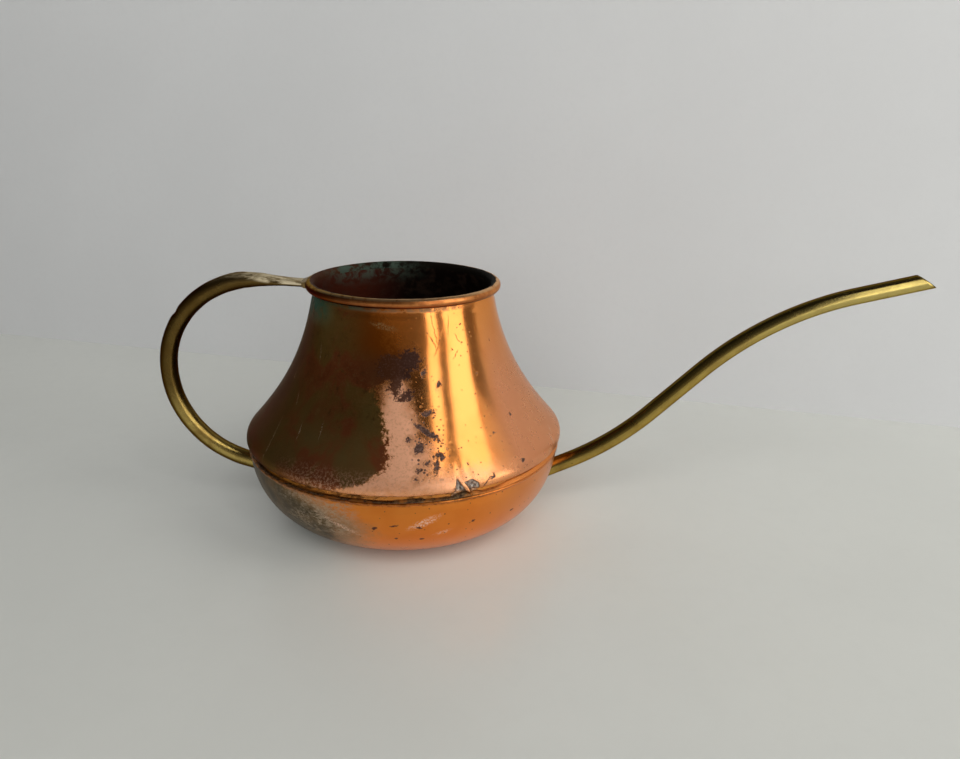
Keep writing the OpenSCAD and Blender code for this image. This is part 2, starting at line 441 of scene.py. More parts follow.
    def patches(self, flat, marks):
        """Distance to the nearest of a list of tilted ovals, negative inside."""
        reach = []
        for place, height, long, wide, tilt in marks:
            m = self.node("Mapping", {"Vector": flat, "Location": (place, height, 0),
                                      "Rotation": (0, 0, rad(tilt)), "Scale": (long, wide, 1)},
                          vector_type="TEXTURE")
            reach.append(self.mul(self.sub(self.vec("LENGTH", m.outputs[0]), 1.0), wide))
        return self.least(reach)

    def outline(self, flat, corners):
        """Distance from inside a convex outline to its nearest edge, below zero outside."""
        reach = []
        for a, b in zip(corners, corners[1:] + corners[:1]):
            size = math.dist(a, b)
            n = ((a[1] - b[1]) / size, (b[0] - a[0]) / size, 0)
            reach.append(self.sub(self.vec("DOT_PRODUCT", flat, n), n[0] * a[0] + n[1] * a[1]))
        return self.least(reach)

    def up(self):
        """How far a surface faces up, from -1 to 1."""
        return self.parts(self.node("NewGeometry").outputs["Normal"])[2]

    def metal(self, color, rough, metallic=1.0, bump=0.0, height=1.0, edge=(1, 1, 1), gloss=0.5):
        """Finished material.

        The bump is in mm times height, edge tints what the metal mirrors at a slant and gloss is
        the shine of the part that isn't metallic."""
        relief = self.node("Bump", {"Distance": MM, "Strength": 1.0, "Height": self.mul(bump, height)})
        return self.finish(self.node("BsdfPrincipled", {
            "Base Color": color, "Roughness": rough, "Metallic": metallic, "Specular Tint": edge,
            "Specular IOR Level": gloss, "Normal": relief.outputs[0]}))

    def clear_back(self):
        """Lets the camera see through the back of a floor or wall."""
        front = self.out.inputs[0].links[0].from_socket
        behind = self.node("NewGeometry").outputs["Backfacing"]
        seen = self.mul(behind, self.node("LightPath").outputs["Is Camera Ray"])
        clear = self.node("BsdfTransparent").outputs[0]
        return self.finish(self.node("MixShader", {0: seen, 1: front, 2: clear}))


# Marks on the body rolled out flat: distance round from the front, height, half length,
# half width and tilt. All are in mm but the tilt.
BLOTCH = [(6.1, 91, 7, 5, 20), (-1.7, 88, 9, 5, -10), (-0.9, 82, 4, 3, 60), (4.4, 78, 5, 1.6, 5)]
FLECKS = [(13.6, 86, 2.2, 1.2, 50), (20.9, 81, 1.6, 0.9, 60), (13.6, 71, 3.2, 1, 5),
          (12.6, 64.5, 6.5, 1.3, -35), (8.9, 59, 2.2, 1.7, 40), (5.2, 62, 1.2, 1, 0),
          (16.8, 56, 1.8, 1.2, -50), (14.7, 52.5, 2.4, 1, 75), (11.5, 54, 1.6, 0.9, 20),
          (8.4, 52, 1.1, 0.8, 0), (7.3, 49, 0.8, 0.6, 0), (34.1, 46.2, 1.1, 0.5, 25),
          (31.2, 44.8, 1.3, 0.45, 35)]
SPECKS = [(38.7, 104, 0.6, 0.4, 0), (31.4, 94, 0.5, 0.3, 0), (61.8, 94, 0.7, 0.4, 30),
          (44, 83, 0.6, 0.4, 0), (55.5, 64, 0.7, 0.5, 0), (49.2, 48, 0.9, 0.5, 20),
          (41.9, 60, 0.5, 0.4, 0)]
HAIRLINES = [(-56.3, 53, 4.5, 0.09, 104), (-67.1, 77, 1.8, 0.12, 110), (-54.1, 70, 1.6, 0.1, -60),
             (-43.3, 60, 1.6, 0.1, 100), (-32.5, 62, 1.5, 0.08, 95), (-48.7, 90, 2, 0.1, -72),
             (72.5, 48, 1.8, 0.28, 60), (76.8, 50.5, 1.5, 0.22, 50), (67.1, 45.5, 1.3, 0.16, 20)]
CRACKS = [(21.5, 103, 4, 0.1, -76), (23.4, 97, 3.2, 0.1, 58), (20.4, 98, 1.8, 0.09, -60),
          (30.7, 104, 2.2, 0.1, 80), (36.1, 98, 1.6, 0.09, -50), (33, 92, 1.4, 0.09, 40)]
SCUFF = [(-7.3, 104.5, 6, 0.9, -8)]
BARE = [(0, 76, 5, 7, 0), (0, 66, 7.5, 9, 0), (1, 55, 10, 9, 0), (-7.3, 47.5, 12, 3, 0),
        (9.4, 46.5, 9, 1.5, 0)]
BOWL_MARKS = [(-8.3, 26.5, 1.1, 0.7, 40), (-0.6, 28, 1.6, 0.4, 10), (9.5, 26.5, 1.3, 0.5, -20),
              (32, 26, 0.9, 0.5, 20), (0, 20.5, 0.7, 0.4, 0), (10.7, 19.5, 0.9, 0.5, 0),
              (52.2, 24.5, 1.2, 0.5, 0)]
BOWL_WORN = [(11.3, 29.2, 6, 1.7, 26), (-22.5, 25.5, 6.5, 0.7, -27), (19, 22.5, 2.2, 0.6, 14)]
SHELL_FLAT_R = 60.0
BOWL_FLAT_R = 68.0


def rolled_out(corners):
    """Corners given as angle and height, rolled out flat in mm."""
    return [(rad(a) * BODY_R, z) for a, z in corners]


# the knock at the seam: two hollows with a fold between them
LEFT_HOLLOW = rolled_out([(20.1, 48.0), (18.2, 40.4), (19.6, 38.4), (25.2, 38.4)])
RIGHT_HOLLOW = rolled_out([(22.5, 46.4), (26.0, 39.2), (27.8, 40.2), (27.2, 45.2), (25.2, 47.0)])
FOLD = rolled_out([(20.4, 48.2), (25.7, 39.2)])

# where the old patina ends: height and x of its edge
SHELL_PATINA = [(38, -30), (44, -24), (47, -14), (50, -7), (54, -3), (60, -2.5), (66, -4.5), (71, -6),
                (76, -8), (80, -9.5), (83, -5), (86, 1), (96, 3), (104, 0), (117, -10)]
BOWL_PATINA = [(0, -34), (10, -24), (18, -20), (24, -18), (30, -24), (35, -34), (39, -44)]

# what the brass mirrors at a slant
TUBE_EDGE = (0.30, 0.20, 0.08)


def clean_copper(g, bare, freckle, right):
    """Clean metal: orange, deeper on the neck, pinker where it is bare and towards the shoulder."""
    broad = g.noise(22.0, 3, 0.55, warp=0.6)
    color = g.mix(g.step(broad, 0.35, 0.65), (0.88, 0.33, 0.085), (0.84, 0.29, 0.068))
    neck = g.mul(g.step(g.z, 84, 100), g.step(g.x, 14, -2))
    color = g.mix(neck, color, (0.80, 0.235, 0.035))
    color = g.coat(color, right, 0.9, (0.66, 0.270, 0.135))
    color = g.coat(color, bare, 0.9, (0.90, 0.47, 0.29))
    return g.coat(color, freckle, 0.4, (0.56, 0.24, 0.12))


def old_patina(g, grain):
    """Olive-brown with maroon clouds, browner on the neck, rubbed pale along the shoulder."""
    cloud = g.noise(19.0, 4, 0.55, warp=0.5, stretch=(1.0, 1.0, 0.85))
    low_band = g.mul(g.step(g.z, 57, 49), g.step(g.x, -46, -26))
    cloud = g.add(cloud, g.mul(low_band, 0.10))
    stops = (0.34, 0.48, 0.57, 0.68)
    color = g.ramp(cloud, stops, [(0.140, 0.088, 0.024), (0.150, 0.078, 0.019),
                                  (0.185, 0.052, 0.017), (0.150, 0.038, 0.012)])
    light = g.ramp(cloud, stops, [(0.215, 0.135, 0.046), (0.235, 0.122, 0.040),
                                  (0.285, 0.086, 0.032), (0.250, 0.074, 0.028)])
    color = g.coat(color, g.step(grain, 0.48, 0.75), 0.4, (0.23, 0.12, 0.045))
    mottle = g.noise(3.6, 6, 0.72, stretch=(1.0, 1.0, 0.7))
    color = g.mix(g.step(mottle, 0.52, 0.70, 0.0, 0.55), color, (0.195, 0.100, 0.036))
    color = g.mix(g.step(mottle, 0.46, 0.30, 0.0, 0.65), color, (0.062, 0.030, 0.009))
    color = g.coat(color, g.step(g.x, -26, -58), 0.8, (0.112, 0.070, 0.024))
    color = g.mix(g.mul(g.step(g.z, 72, 52), g.step(g.x, -56, -26, 0.2, 0.85)), color, light)
    near_blotch = g.mul(g.step(g.x, -22, -6), g.step(g.z, 78, 86))
    color = g.coat(color, near_blotch, 0.8, (0.125, 0.045, 0.016))
    neck = g.mul(g.step(g.z, 86, 98), g.step(g.x, -26, -6))
    color = g.mix(neck, color, (0.19, 0.046, 0.003))
    rub = g.all(g.within(g.z, 40, 44, 46.5, 53), g.within(g.x, -56, -30, -12, 0),
                g.step(g.noise(1.0, 4, 0.75), 0.47, 0.58))
    return g.coat(color, rub, 0.85, (0.68, 0.36, 0.22))


def pinholes(g, spread, radius):
    """Tiny round holes, crowded where a slow noise is high."""
    return g.step(g.sub(g.cells(spread), g.mul(g.noise(14.0, 2), 0.17)), radius, 0.0)


def corrosion(g, flat, crumbs):
    """Flecks, specks, pinholes and a scatter of dots in the clean metal."""
    flecks = g.step(g.add(g.patches(flat, FLECKS), g.mul(crumbs, 4.0)), 0.10, -0.30)
    specks = g.step(g.patches(flat, SPECKS), 0.25, -0.15)
    pin_zone = g.within(g.phi, 2, 14, 30, 64)
    pins = g.mul(pinholes(g, 2.6, 0.035), g.add(g.mul(pin_zone, 0.8), 0.02))
    dots = g.sub(g.cells(2.1), g.mul(g.noise(5.0, 3), 0.75))
    dots = g.all(g.step(dots, -0.12, -0.19), g.within(g.phi, 3, 9, 14, 23), g.within(g.z, 46, 52, 66, 80))
    return g.most(g.most(flecks, specks), g.most(pins, dots))


def roll_color(g):
    """The roll: oxidised on the handle's side, with painted shade on its lower half and in its crease, and
    a crown rubbed pale that is also a painted highlight.
    """
    color = g.mix(g.step(g.noise(5.0, 4, 0.65), 0.38, 0.62), (0.68, 0.27, 0.080), (0.46, 0.15, 0.045))
    color = g.mix(g.step(g.x, -6, -34), color, (0.105, 0.026, 0.008))
    # painted shade: the lower half of the roll is darkened
    color = g.mix(g.step(g.z, 114.6, 113.4, 0.0, 0.7), color, (0.30, 0.085, 0.028))
    # painted shade in the crease under the roll
    crease = g.within(g.z, 111.7, 112.2, 112.8, 113.2)
    color = g.coat(color, crease, 0.85, (0.045, 0.018, 0.010))
    # the crown is rubbed pale, and this pale band along the top is also a painted highlight
    crown = g.mul(g.step(g.z, 115.3, 116.1), g.step(g.noise(3.0, 4, 0.7), 0.30, 0.50))
    return g.coat(color, crown, 0.75, (0.78, 0.55, 0.30))


def oxide_and_shade_color(g):
    """The roll's inner half: near black on the spout's side as painted shade, maroon oxide on the handle's
    side, with a pale bloom.
    """
    bloom = g.mul(g.step(g.noise(5.0, 4, 0.7), 0.40, 0.62), g.within(g.x, -42, -30, -14, 14))
    # near black towards the spout is painted shade; the maroon towards the handle is oxide
    oxide = g.mix(g.step(g.x, -10, -36), (0.004, 0.003, 0.002), (0.045, 0.014, 0.006))
    return g.mix(bloom, oxide, (0.045, 0.066, 0.050))


def knock_solder(g):
    """Where solder is smeared into the knock at the seam, and its colour, with painted highlights streaked
    through it.
    """
    flat = g.unrolled(g.shaken(1.2, 3, 0.5), BODY_R)
    deep = g.most(g.outline(flat, LEFT_HOLLOW), g.outline(flat, RIGHT_HOLLOW))
    # painted highlight: pale streaks over the darker tin
    shine = g.step(g.noise(1.4, 4, 0.6, stretch=(1.6, 1.6, 0.6)), 0.42, 0.60)
    tin = g.mix(shine, (0.24, 0.180, 0.160), (0.80, 0.72, 0.64))
    tin = g.mix(g.step(deep, 0.50, -0.05), tin, (0.13, 0.070, 0.040))
    return g.step(deep, -0.30, 0.05), tin


def verdigris(g):
    """Where it lies under the roll, and its colour.

    It is broad on the handle's side and goes on past the front as a thin line."""
    broad = g.mul(g.within(g.z, 98, 108, 112.6, 113.4), g.step(g.x, -25, -35))
    broad = g.mul(broad, g.step(g.noise(4.0, 4, 0.7), 0.28, 0.50))
    thin = g.mul(g.within(g.z, 109.6, 110.9, 112.6, 113.4), g.step(g.x, 34, 18))
    thin = g.mul(g.mul(thin, 0.75), g.step(g.noise(3.5, 4, 0.7), 0.36, 0.58))
    tone = g.mix(g.step(g.x, -30, -6), (0.001, 0.066, 0.042), (0.10, 0.11, 0.080))
    return g.most(broad, thin), tone


def spun_bump(g, line_depth, dent_size, dent_depth):
    """Spinning lines and the soft unevenness of hand work."""
    lines = g.mul(g.noise(0.9, 2, 0.5, stretch=(0.02, 0.02, 1.0)), line_depth)
    return g.add(lines, g.mul(g.noise(dent_size, 2, 0.5), dent_depth))


def copper_upper():
    """Old patina on the handle's side, clean copper towards the spout, with marks on both."""
    g = Graph("copper_upper_body")
    grain = g.noise(0.75, 3, 0.65)
    mid = g.noise(6.0, 4, 0.6)
    crumbs = g.sub(g.noise(1.3, 5, 0.75), 0.5)
    flat = g.unrolled(g.shaken(1.5, 5, 2.6), SHELL_FLAT_R)
    soft = g.unrolled(g.shaken(5.0, 5, 7.0), SHELL_FLAT_R)

    # sharp, crumbling edge to the patina on the shoulder, soft on the neck
    off = g.sub(g.curve(g.z, SHELL_PATINA, -60, 40), g.x)
    off = g.add(g.add(off, g.sway(g.noise(4.0, 5, 0.7), 14.0)), g.mul(crumbs, 15.0))
    blur = g.linear(g.step(g.z, 86, 100), 1.2, 11.0)
    patina = g.step(off, g.mul(blur, -1.0), blur)

    slant = g.sub(g.phi, g.mul(g.sub(g.z, 52), 0.25))
    right = g.mul(g.step(slant, 31, 50), g.step(g.z, 112, 72))
    bare = g.step(g.add(g.patches(soft, BARE), g.mul(crumbs, 6.0)), 6.5, -3.5)
    bare = g.mul(bare, g.without(patina))
    freckle = g.mul(bare, g.step(g.noise(1.1, 4, 0.7), 0.50, 0.62))
    color = g.mix(patina, clean_copper(g, bare, freckle, right), old_patina(g, grain))
    rough = g.add(g.linear(patina, 0.15, 0.34), g.mul(bare, 0.24))
    rough = g.add(g.add(rough, g.mul(right, 0.13)), g.sway(mid, 0.10))
    metallic = g.sub(g.sub(g.linear(patina, 1.0, 0.84), g.mul(bare, 0.42)), g.mul(right, 0.25))

    # dark blotch and corroded marks, with a brown halo round the flecks
    blotch = g.step(g.add(g.patches(soft, BLOTCH), g.mul(crumbs, 11.0)), 0.9, -0.5)
    marks = corrosion(g, flat, crumbs)
    color = g.coat(color, g.step(g.patches(soft, FLECKS), 1.4, 0.1), 0.4, (0.46, 0.19, 0.08))
    stain = g.mix(g.step(g.phi, -6, 8), (0.090, 0.030, 0.012), (0.080, 0.035, 0.025))
    stain = g.coat(stain, g.step(grain, 0.50, 0.66), 0.6, (0.14, 0.076, 0.058))
    color = g.mix(blotch, color, stain)
    pit = g.mix(g.step(grain, 0.42, 0.64), (0.050, 0.022, 0.016), (0.16, 0.095, 0.080))
    color = g.mix(marks, color, pit)
    rough = g.lerp(g.most(marks, blotch), rough, 0.46)
    metallic = g.mul(metallic, g.linear(marks, 1.0, 0.55))

    smear, tin = knock_solder(g)
    color = g.mix(smear, color, tin)
    rough = g.lerp(smear, rough, 0.30)

    # hairline scratches, pale on the patina and dark on the neck, and a scuff high on the front
    hairs = g.mul(g.step(g.patches(flat, HAIRLINES), 0.16, -0.04), g.step(grain, 0.40, 0.52))
    color = g.coat(color, hairs, 0.55, (0.72, 0.56, 0.42))
    cracks = g.mul(g.step(g.patches(flat, CRACKS), 0.14, -0.04), g.step(grain, 0.36, 0.50))
    color = g.coat(color, cracks, 0.8, (0.10, 0.045, 0.020))
    scuff = g.mul(g.step(g.patches(flat, SCUFF), 0.8, -0.4), g.step(grain, 0.42, 0.58))
    color = g.coat(color, scuff, 0.6, (0.50, 0.31, 0.13))

    green, tone = verdigris(g)
    color = g.coat(color, green, 0.85, tone)
    rough = g.lerp(green, rough, 0.6)
    metallic = g.mul(metallic, g.without(green, 0.85))

    # dirt in the band under the shoulder
    band = g.step(g.z, 43.2, 42.2)
    dirt = g.mul(band, g.step(g.noise(3.2, 4, 0.7, stretch=(0.5, 0.5, 1.6)), 0.44, 0.60))
    color = g.coat(color, band, 0.6, (0.62, 0.23, 0.035))
    color = g.coat(color, dirt, 0.85, (0.07, 0.028, 0.010))
    rough = g.lerp(g.mul(dirt, 0.8), rough, 0.55)

    # the roll, with its inner half darkened: oxide on the handle's side, painted shade towards the spout
    roll = g.step(g.z, 111.6, 112.1)
    color = g.coat(color, roll, 0.9, roll_color(g))
    rough = g.lerp(roll, rough, 0.30)
    from_axis = g.vec("LENGTH", g.vec("MULTIPLY", g.p, (1, 1, 0)))
    inner = g.step(g.add(from_axis, g.sway(mid, 1.6)), 42.9, 42.3)
    inner = g.mul(inner, g.step(g.z, 111.9, 112.2))
    color = g.mix(inner, color, oxide_and_shade_color(g))
    rough = g.lerp(inner, rough, 0.7)
    metallic = g.mul(metallic, g.without(inner))
    metallic = g.lerp(g.mul(roll, g.without(inner)), metallic, 0.96)

    scratch = g.noise(0.45, 2, 0.6, stretch=(0.25, 0.25, 1.4), warp=0.4)
    h = g.add(spun_bump(g, 0.006, 26.0, 0.24), g.mul(scratch, 0.003))
    h = g.add(h, g.mul(g.mul(grain, patina), 0.05))
    h = g.sub(g.sub(h, g.mul(marks, 0.08)), g.mul(cracks, 0.05))
    gloss = g.lerp(g.most(inner, g.mul(patina, 0.75)), 0.5, 0.12)
    edge = g.mix(patina, (1.0, 0.82, 0.66), (0.33, 0.24, 0.08))
    return g.metal(color, rough, metallic, bump=h, edge=edge, gloss=gloss)


def copper_bowl():
    """Bright copper, with olive patina and silvery wear on the handle's side."""
    g = Graph("copper_bowl")
    grain = g.noise(0.75, 3, 0.65)
    mid = g.noise(6.0, 4, 0.6)
    flat = g.unrolled(g.shaken(1.5, 5, 2.0), BOWL_FLAT_R)
    clean = g.mix(g.step(g.noise(18, 3, 0.5), 0.4, 0.6), (0.90, 0.285, 0.048), (0.86, 0.255, 0.040))
    low = g.most(g.step(g.z, 22, 8), g.mul(g.step(g.phi, 22, 60), 0.9))
    clean = g.coat(clean, low, 0.75, (0.82, 0.33, 0.135))
    off = g.sub(g.curve(g.z, BOWL_PATINA, -60, 10), g.x)
    off = g.add(g.add(off, g.sway(g.noise(5.0, 5, 0.7), 18.0)), g.sway(grain, 5.0))
    patina = g.step(off, -13.0, 12.0)
    olive = g.mix(g.step(g.noise(9, 3, 0.6), 0.4, 0.6), (0.080, 0.054, 0.022), (0.14, 0.084, 0.032))
    color = g.mix(patina, clean, olive)

    # silvery scuffs on the left where the patina thins
    scuffs = g.all(g.step(g.noise(1.4, 6, 0.8, stretch=(0.7, 0.7, 1.2)), 0.42, 0.60),
                   g.step(g.noise(8, 3), 0.30, 0.55), g.within(g.x, -60, -34, -28, -8),
                   g.step(g.z, 13, 24))
    color = g.coat(color, g.within(off, -15.0, -1.0, 1.0, 11.0), 0.4, (0.52, 0.34, 0.20))
    color = g.coat(color, scuffs, 0.75, (0.62, 0.48, 0.34))
    worn = g.mul(g.step(g.patches(flat, BOWL_WORN), 0.9, -0.9), g.step(grain, 0.46, 0.56))
    color = g.coat(color, worn, 0.85, (0.95, 0.62, 0.46))
    marks = g.most(g.step(g.patches(flat, BOWL_MARKS), 0.2, -0.2), g.mul(pinholes(g, 3.4, 0.03), 0.6))
    color = g.mix(marks, color, (0.10, 0.030, 0.015))

    lip = g.mul(g.step(g.z, 36.9, 38.0), g.step(g.phi, 44, 24))
    lip_tone = g.mix(g.step(g.noise(3.0, 4, 0.7), 0.42, 0.6), (0.20, 0.075, 0.022), (0.66, 0.25, 0.06))
    color = g.coat(color, lip, 0.7, lip_tone)
    rough = g.add(g.linear(patina, 0.30, 0.44), g.sway(mid, 0.12))
    rough = g.lerp(g.most(marks, scuffs), rough, 0.55)
    metallic = g.mul(g.linear(patina, 1.0, 0.8), g.linear(g.most(marks, worn), 1.0, 0.5))
    h = g.add(spun_bump(g, 0.02, 20.0, 0.25), g.mul(grain, 0.015))
    h = g.sub(h, g.mul(marks, 0.05))
    return g.metal(color, rough, metallic, bump=h)


def copper_inside():
    """Near black on the spout's side as painted shade, maroon oxide on the handle's side, with grey-green
    bloom below the rim.
    """
    g = Graph("copper_inside")
    mid = g.noise(5.0, 4, 0.65)
    # painted shade: near black towards the spout; maroon oxide towards the handle
    oxide = g.mix(g.step(g.x, 2, -30), (0.003, 0.0015, 0.001), (0.044, 0.008, 0.003))
    oxide = g.coat(oxide, g.step(mid, 0.45, 0.65), 0.35, (0.03, 0.016, 0.010))
    bloom = g.all(g.step(g.z, 104, 113), g.step(g.noise(4.5, 5, 0.7, warp=0.5), 0.42, 0.60),
                  g.within(g.x, -42, -28, -16, 14))
    color = g.coat(oxide, bloom, 0.7, (0.048, 0.070, 0.052))
    chalk = g.mul(g.step(g.z, 34, 10), g.step(g.noise(3.0, 5, 0.7), 0.45, 0.62))
    color = g.coat(color, chalk, 0.5, (0.20, 0.21, 0.18))
    return g.metal(color, g.step(mid, 0.3, 0.7, 0.6, 0.8), 0.0, bump=mid, height=0.12, gloss=0.12)


def brass(name, base, tarnish, rough):
    """Tarnished brass: soft brown clouds, fine grain, small dark specks."""
    g = Graph(name)
    grain = g.noise(0.6, 3, 0.65)
    cloud = g.noise(11.0, 4, 0.6, warp=0.4)
    streak = g.noise(1.6, 3, 0.6, stretch=(0.15, 1.0, 0.15))
    dull = g.step(g.add(cloud, g.sway(streak, 0.35)), 0.36, 0.72)
    color = g.mix(dull, base, tarnish)
    color = g.coat(color, g.step(grain, 0.5, 0.75), 0.3, tuple(c * 0.6 for c in base))
    pin = g.mul(g.step(g.cells(3.4), 0.13, 0.05), g.step(g.noise(9.0, 2), 0.52, 0.60))
    color = g.coat(color, pin, 0.75, (0.05, 0.026, 0.010))
    r = g.add(g.add(rough, g.mul(dull, 0.08)), g.sway(grain, 0.08))
    h = g.add(g.mul(streak, 0.002), g.mul(grain, 0.002))
    return g, color, r, h


def brass_handle():
    """Brass grip with painted shade above the bend and along its slanting edges, rubbed pale on top near
    the tab with painted light on top and painted shade below, and bright near the foot.
    """
    g, color, r, h = brass("brass_handle", (0.68, 0.50, 0.150), (0.44, 0.29, 0.080), 0.26)
    up = g.up()
    # painted shade: darker brown above the bend
    color = g.coat(color, g.step(g.z, 44, 66), 0.9, (0.108, 0.058, 0.013))
    # painted shade: darker where the tube turns away from the camera
    slant = g.node("LayerWeight").outputs["Facing"]
    color = g.mix(g.step(slant, 0.12, 0.42, 0.0, 0.82), color, (0.085, 0.045, 0.010))
    crinkle = g.noise(2.2, 5, 0.72, stretch=(0.35, 1.0, 1.0))
    near_tab = g.mul(g.step(g.x, -98, -56), g.step(g.z, 80, 100))
    facing_up = g.step(up, g.step(g.x, -84, -58, 0.50, -0.35), g.step(g.x, -84, -58, 0.90, 0.20))
    # painted light on the tab's upward faces
    lit = g.mul(g.step(up, -0.3, 0.5), near_tab)
    color = g.coat(color, lit, 0.75, (0.36, 0.255, 0.105))
    # pale wear on the tab, kept to the faces that look up, so partly painted light
    pale = g.all(facing_up, near_tab, g.step(crinkle, 0.33, 0.56))
    color = g.coat(color, pale, 0.9, (0.76, 0.66, 0.45))
    # painted shade under the tab
    under = g.mul(g.step(up, -0.15, -0.6), near_tab)
    color = g.coat(color, under, 0.8, (0.075, 0.040, 0.014))
    r = g.add(r, g.mul(pale, 0.20))
    h = g.add(h, g.mul(g.mul(crinkle, near_tab), 0.25))
    return g.metal(color, r, g.without(pale, 0.6), bump=h, edge=TUBE_EDGE)


def brass_spout():
    """Darkened along the top as painted shade, brighter towards the tip, dark at the cut end."""
    g, color, r, h = brass("brass_spout", (0.46, 0.325, 0.080), (0.33, 0.210, 0.050), 0.20)
    color = g.coat(color, g.step(g.x, 120, 215), 0.6, (0.60, 0.50, 0.180))
    # painted shade: the half that faces up is darkened
    dull = g.step(g.add(g.up(), g.sway(g.noise(7.0, 3), 0.15)), 0.46, 0.74)
    color = g.coat(color, dull, 0.80, (0.105, 0.066, 0.017))
    color = g.coat(color, g.step(g.x, 243.5, 248), 0.6, (0.10, 0.05, 0.02))
    return g.metal(color, r, bump=h, edge=TUBE_EDGE)


def solder(name, light, dark, tint, clean_side=False):
    """Crusty solder; on the seam it is clean copper-coloured metal towards the spout."""
    g = Graph(name)
    crust = g.noise(1.3, 5, 0.75)
    big = g.noise(7.0, 3, 0.6)
    color = g.mix(g.step(crust, 0.38, 0.62), dark, light)
    color = g.mix(g.step(big, 0.48, 0.62), color, tint)
    if clean_side:
        side = g.step(g.add(g.x, g.sway(big, 24)), 30, 44)
        color = g.coat(color, side, 0.92, (0.80, 0.27, 0.055))
    h = g.add(g.mul(crust, 0.18), g.mul(g.noise(0.5, 3, 0.7), 0.05))
    return g.metal(color, g.step(crust, 0.3, 0.7, 0.62, 0.36), 0.7, bump=h)


def wire_metal():
    g = Graph("rim_wire_metal")
    rust = g.noise(2.0, 4, 0.7)
    color = g.mix(g.step(rust, 0.45, 0.6), (0.35, 0.33, 0.30), (0.20, 0.09, 0.04))
    return g.metal(color, g.step(rust, 0.3, 0.7, 0.35, 0.7), bump=rust, height=0.05)


MAT_UPPER = copper_upper()
MAT_BOWL = copper_bowl()
MAT_INSIDE = copper_inside()
MAT_HANDLE = brass_handle()
MAT_SPOUT = brass_spout()
MAT_SEAM = solder("seam_solder", (0.20, 0.12, 0.055), (0.035, 0.018, 0.010), (0.34, 0.13, 0.025), True)
MAT_JOINT = solder("joint_solder", (0.42, 0.31, 0.14), (0.20, 0.13, 0.05), (0.34, 0.22, 0.08))
MAT_WIRE = wire_metal()


# --- pieces
KNOCK_TURN = 22.5
KNOCK_REACH = 22.0
KNOCK_DEPTH = 2.3
FOLD_HEIGHT = 1.9
ROLL_SHRINK = 0.12


def uneven(x, y, z):
    """Smooth noise from about -1 to 1 at a place."""
    return noise.noise(Vector((x, y, z)))


def wobble(phi, z, size, seed):
    """Smooth irregularity round the body, a fraction of a millimetre."""
    a = rad(phi)
    return size * uneven(math.cos(a) * 1.6 + seed, math.sin(a) * 1.6, z * 0.03)


def knock(phi, z):
    """How far the shoulder is knocked in at a place, and how far the fold stands out."""
    p = (rad(phi) * BODY_R, z)
    deep = 0.0
    for corners in (LEFT_HOLLOW, RIGHT_HOLLOW):
        deep = max(deep, KNOCK_DEPTH * smooth(-0.5, 2.0, inside_by(p, corners)))
    wide = bell(phi - 22.6, 7.0) * bell(z - 50.5, 6.0)
    ripple = math.cos((phi - 21.4) * 1.7) * bell(phi - 22.4, 3.6) * bell(z - 49.0, 3.4)
    a, b = FOLD
    off = cross(add(b, a, -1), add(p, a, -1)) / math.dist(a, b)
    fold = bell(off, 0.7) * smooth(43.6, 42.0, z) * smooth(38.8, 40.2, z)
    return deep + 0.35 * wide + 0.05 * ripple, fold


def shell_shape(phi, z):
    """Small unevenness of hand-spun copper, and the knock at the seam on the front."""
    dr = wobble(phi, z, 0.35, 3.1) * smooth(112, 100, z) * smooth(43, 50, z)
    dz = 0.0
    if 38.0 < z < 66 and abs(phi - KNOCK_TURN) < KNOCK_REACH:
        deep, fold = knock(phi, z)
        deep *= smooth(41.6, 43.4, z)
        dr += FOLD_HEIGHT * fold - deep
        dz -= 0.2 * deep
    if z > 108:
        dz += wobble(phi, z, 0.10, 8.0) - ROLL_SHRINK
        dr -= ROLL_SHRINK
    return dr, dz


def bowl_shape(phi, z):
    return wobble(phi, z, 0.4, 5.7) * smooth(2, 14, z) * smooth(38.5, 30, z), 0.0


def turns_round(step, fine_step, fine_from, fine_to):
    """Angles all the way round, closer together over one stretch."""
    turns = [-180.0]
    while turns[-1] < 180.0 - step:
        turns.append(turns[-1] + (fine_step if fine_from <= turns[-1] < fine_to else step))
    return turns


shell_turns = turns_round(0.75, 0.25, 15.0, 31.5)
add_piece("upper_body", lathe(shell_line, shell_back, shell_turns, shell_shape),
          "upper_shell", "copper_upper", MAT_UPPER, MAT_INSIDE)
bowl_turns = turns_round(1.125, 1.125, 0, 0)
add_piece("lower_bowl", lathe(bowl_line, bowl_back, bowl_turns, bowl_shape),
          "base_bowl", "copper_bowl", MAT_BOWL, MAT_INSIDE)

SEAM_STEPS = 480


